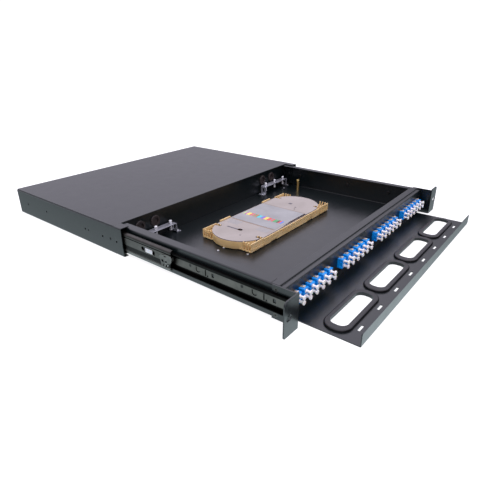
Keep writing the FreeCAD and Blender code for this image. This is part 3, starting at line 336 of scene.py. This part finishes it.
# nodes that look different from the rest of their material slot
special = {
    "ear_screws": ear_screw,
    "drawer_pan": shaded_inner_coat,
    "rear_wall": shaded_inner_coat,
    "splice_holder": holder_cream,
    "cable_clamp_screws": screw_zinc,
    "cable_clamp_left": clamp_zinc,
    "cable_clamp_right": clamp_zinc,
}
for side in ("left", "right"):
    special["slide_middle_" + side] = middle_steel
    special["slide_inner_" + side] = inner_steel
    special["slide_latch_" + side] = latch_steel
slot_of = {p["node"]: p["material_slot"] for p in frame["record"]["subparts"]}

# rounding of each node's edges in millimetres
BEVEL = {
    "top_cover": 0.3, "side_panel_left": 0.3, "side_panel_right": 0.3, "drawer_pan": 0.3, "rear_wall": 0.3,
    "adapter_panel": 0.3, "cable_tray": 0.3, "rack_ear_left": 0.35, "rack_ear_right": 0.35,
    "splice_tray_base": 0.25, "splice_tray_cover": 0.25,
    "cable_clamp_left": 0.25, "cable_clamp_right": 0.25,
    "slide_middle_left": 0.2, "slide_middle_right": 0.2, "slide_inner_left": 0.2, "slide_inner_right": 0.2,
    "slide_outer_left": 0.2, "slide_outer_right": 0.2, "splice_holder": 0.15,
    "slide_stop_left": 0.1, "slide_stop_right": 0.1, "slide_latch_left": 0.15, "slide_latch_right": 0.15,
}
for i in range(1, 5):
    BEVEL["adapter_group_%d" % i] = 0.25
    BEVEL["dust_caps_%d" % i] = 0.25
BEVEL["rear_dust_caps"] = 0.25

for name, obj in nodes.items():
    look = special.get(name) or looks[slot_of[name]]
    obj.data.materials.clear()
    obj.data.materials.append(look)
    if name in BEVEL:
        weld = obj.modifiers.new("weld", "WELD")
        weld.merge_threshold = 0.000002
        bevel = obj.modifiers.new("bevel", "BEVEL")
        bevel.width = BEVEL[name] * MM
        bevel.segments = 2
        bevel.limit_method = "ANGLE"
        bevel.angle_limit = math.radians(50)
        bevel.use_clamp_overlap = True
        bevel.harden_normals = False


# ---------------------------------------------------------------- printed label
def flat_patches(name, patches, z, materials, body):
    """One thin printed mesh: patches are (x0, x1, y0, y1, material index) in millimetres."""
    mesh = bpy.data.meshes.new(name)
    verts = []
    faces = []
    for x0, x1, y0, y1, _ in patches:
        n = len(verts)
        corners = ((x0, y0), (x1, y0), (x1, y1), (x0, y1))
        verts += [(x * MM, y * MM, z) for x, y in corners]
        faces.append((n, n + 1, n + 2, n + 3))
    mesh.from_pydata(verts, [], faces)
    for m in materials:
        mesh.materials.append(m)
    for face, patch in zip(mesh.polygons, patches):
        face.material_index = patch[4]
    obj = bpy.data.objects.new(name, mesh)
    bpy.context.scene.collection.objects.link(obj)
    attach(obj, body)
    return obj


def ink(name, colour):
    s = Shader(name, 0.5)
    s.colour(s.ramp(s.noise(500.0, 2.0), [(0.3, tuple(c * 0.85 for c in colour)), (0.7, colour)]))
    s.rough(s.remap(s.noise(300.0, 2.0), 0.45, 0.6))
    return s.material


INKS = {
    "yellow": (0.72, 0.60, 0.10), "red": (0.62, 0.06, 0.06), "purple": (0.40, 0.08, 0.35),
    "green": (0.05, 0.30, 0.10), "lime": (0.42, 0.55, 0.18), "cyan": (0.05, 0.50, 0.60),
    "blue": (0.04, 0.16, 0.60), "brown": (0.10, 0.05, 0.03),
}
ink_names = list(INKS)
inks = [ink("ink_" + n, c) for n, c in INKS.items()]
label_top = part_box("fibre_label")[1].z
STROKE_X = (-15.5, -4.5)
STROKE_GROUPS = (
    (236.0, 219.0, ("lime", "purple", "yellow", "yellow", "red")),
    (217.5, 200.5, ("red", "green", "red", "green", "cyan", "cyan")),
    (199.0, 181.0, ("blue", "purple", "yellow", "yellow", "red", "red")),
    (178.5, 158.0, ("red", "green", "green", "brown", "red", "blue")),
)
strokes = []
for far, near, colours in STROKE_GROUPS:
    step = (far - near) / len(colours)
    for k, colour in enumerate(colours):
        strokes.append((*STROKE_X, far - (k + 0.86) * step, far - k * step, ink_names.index(colour)))
flat_patches("label_strokes", strokes, label_top + PRINT_LIFT, inks, "splice_cover")

# paler windows, a rib line and a keyhole slot moulded into the cover; the slot's recess is a flat patch of
# painted shade
pale = ink("cover_pale", (0.27, 0.255, 0.245))
tan_line = ink("cover_tan", (0.22, 0.155, 0.11))
# painted shade: near-black patches standing in for the shadowed recess of the slot
slot_shade = ink("cover_slot_shade", (0.07, 0.062, 0.075))
marks = [(-60.5, -45.0, 211.0, 233.5, 0), (-58.5, -43.5, 155.0, 176.5, 0), (-43.5, -41.2, 151.5, 237.0, 1),
         (-75.2, -72.0, 199.5, 220.0, 2), (72.0, 78.0, 196.0, 202.0, 2), (46.6, 48.0, 152.0, 237.0, 1)]
flat_patches("cover_marks", marks, cover_box[1].z + PRINT_LIFT, [pale, tan_line, slot_shade], "splice_cover")


# ---------------------------------------------------------------- floor, light, camera
def backdrop():
    z = cad_box[0][2] - FLOOR_GAP
    mesh = bpy.data.meshes.new("floor")
    corners = ((-1, -1), (1, -1), (1, 1), (-1, 1))
    mesh.from_pydata([(x * FLOOR_HALF, y * FLOOR_HALF, z) for x, y in corners], [], [(0, 1, 2, 3)])
    s = Shader("floor_white", 0.9)
    s.colour(s.ramp(s.noise(3.0, 2.0), [(0.3, (0.30, 0.30, 0.30)), (0.7, (0.32, 0.32, 0.32))]))
    s.bsdf.inputs["Emission Color"].default_value = (1.0, 1.0, 1.0, 1.0)
    s.bsdf.inputs["Emission Strength"].default_value = FLOOR_GLOW
    mesh.materials.append(s.material)
    floor = bpy.data.objects.new("floor", mesh)
    floor.visible_glossy = False
    floor.visible_diffuse = False
    bpy.context.scene.collection.objects.link(floor)


def world():
    """Studio surround with a dim right-hand side; the camera itself sees a plain backdrop."""
    w = bpy.data.worlds.new("studio")
    w.use_nodes = True
    tree = w.node_tree
    link = tree.links.new
    bg = tree.nodes["Background"]
    place = tree.nodes.new("ShaderNodeTexCoord")
    split = tree.nodes.new("ShaderNodeSeparateXYZ")
    height = tree.nodes.new("ShaderNodeMapRange")
    height.inputs["From Min"].default_value = -1.0
    height.inputs["From Max"].default_value = 1.0
    link(place.outputs["Generated"], split.inputs["Vector"])
    link(split.outputs["Z"], height.inputs["Value"])
    colours = []
    for stops in (LEVELS, DIM_SIDE_LEVELS):
        ramp = tree.nodes.new("ShaderNodeValToRGB")
        elements = ramp.color_ramp.elements
        while len(elements) < len(stops):
            elements.new(0.5)
        for e, (elevation, level) in zip(elements, stops):
            e.position = 0.5 + 0.5 * math.sin(math.radians(elevation))
            tint = COOL if elevation < 0 else VIOLET
            e.color = (*(level * t for t in tint), 1.0)
        link(height.outputs["Result"], ramp.inputs["Fac"])
        colours.append(ramp.outputs["Color"])
    turn = tree.nodes.new("ShaderNodeVectorMath")
    turn.operation = "DOT_PRODUCT"
    turn.inputs[1].default_value = DIM_SIDE_AXIS
    link(place.outputs["Generated"], turn.inputs[0])
    side = tree.nodes.new("ShaderNodeMapRange")
    side.inputs["From Min"].default_value = DIM_SIDE_BEGINS
    side.inputs["From Max"].default_value = DIM_SIDE_FULL
    link(turn.outputs["Value"], side.inputs["Value"])
    around = tree.nodes.new("ShaderNodeMix")
    around.data_type = "RGBA"
    link(side.outputs["Result"], around.inputs["Factor"])
    link(colours[0], around.inputs[6])
    link(colours[1], around.inputs[7])
    seen = tree.nodes.new("ShaderNodeLightPath")
    final = tree.nodes.new("ShaderNodeMix")
    final.data_type = "RGBA"
    final.inputs[7].default_value = (BACKDROP_LEVEL, BACKDROP_LEVEL, BACKDROP_LEVEL, 1.0)
    link(seen.outputs["Is Camera Ray"], final.inputs["Factor"])
    link(around.outputs[2], final.inputs[6])
    link(final.outputs[2], bg.inputs["Color"])
    bg.inputs["Strength"].default_value = WORLD_STRENGTH
    bpy.context.scene.world = w


def camera():
    heading = math.radians(CAMERA_HEADING)
    tilt = math.radians(CAMERA_TILT)
    level = math.cos(tilt)
    ahead = Vector((math.sin(heading) * level, math.cos(heading) * level, math.sin(tilt)))
    right = ahead.cross(Vector((0, 0, 1))).normalized()
    up = right.cross(ahead)
    turn = Matrix.Rotation(math.radians(CAMERA_ROLL), 3, ahead)
    right = turn @ right
    up = turn @ up
    data = bpy.data.cameras.new("camera")
    data.sensor_width = SENSOR_MM
    data.lens = LENS_MM
    data.shift_x, data.shift_y = LENS_SHIFT
    data.clip_start = 0.01
    data.clip_end = 30
    obj = bpy.data.objects.new("camera", data)
    rotation = Matrix((right, up, -ahead)).transposed()
    obj.matrix_world = Matrix.Translation(CAMERA_PLACE) @ rotation.to_4x4()
    bpy.context.scene.collection.objects.link(obj)
    bpy.context.scene.camera = obj


backdrop()
world()
camera()
bpy.context.scene.view_settings.view_transform = "Standard"
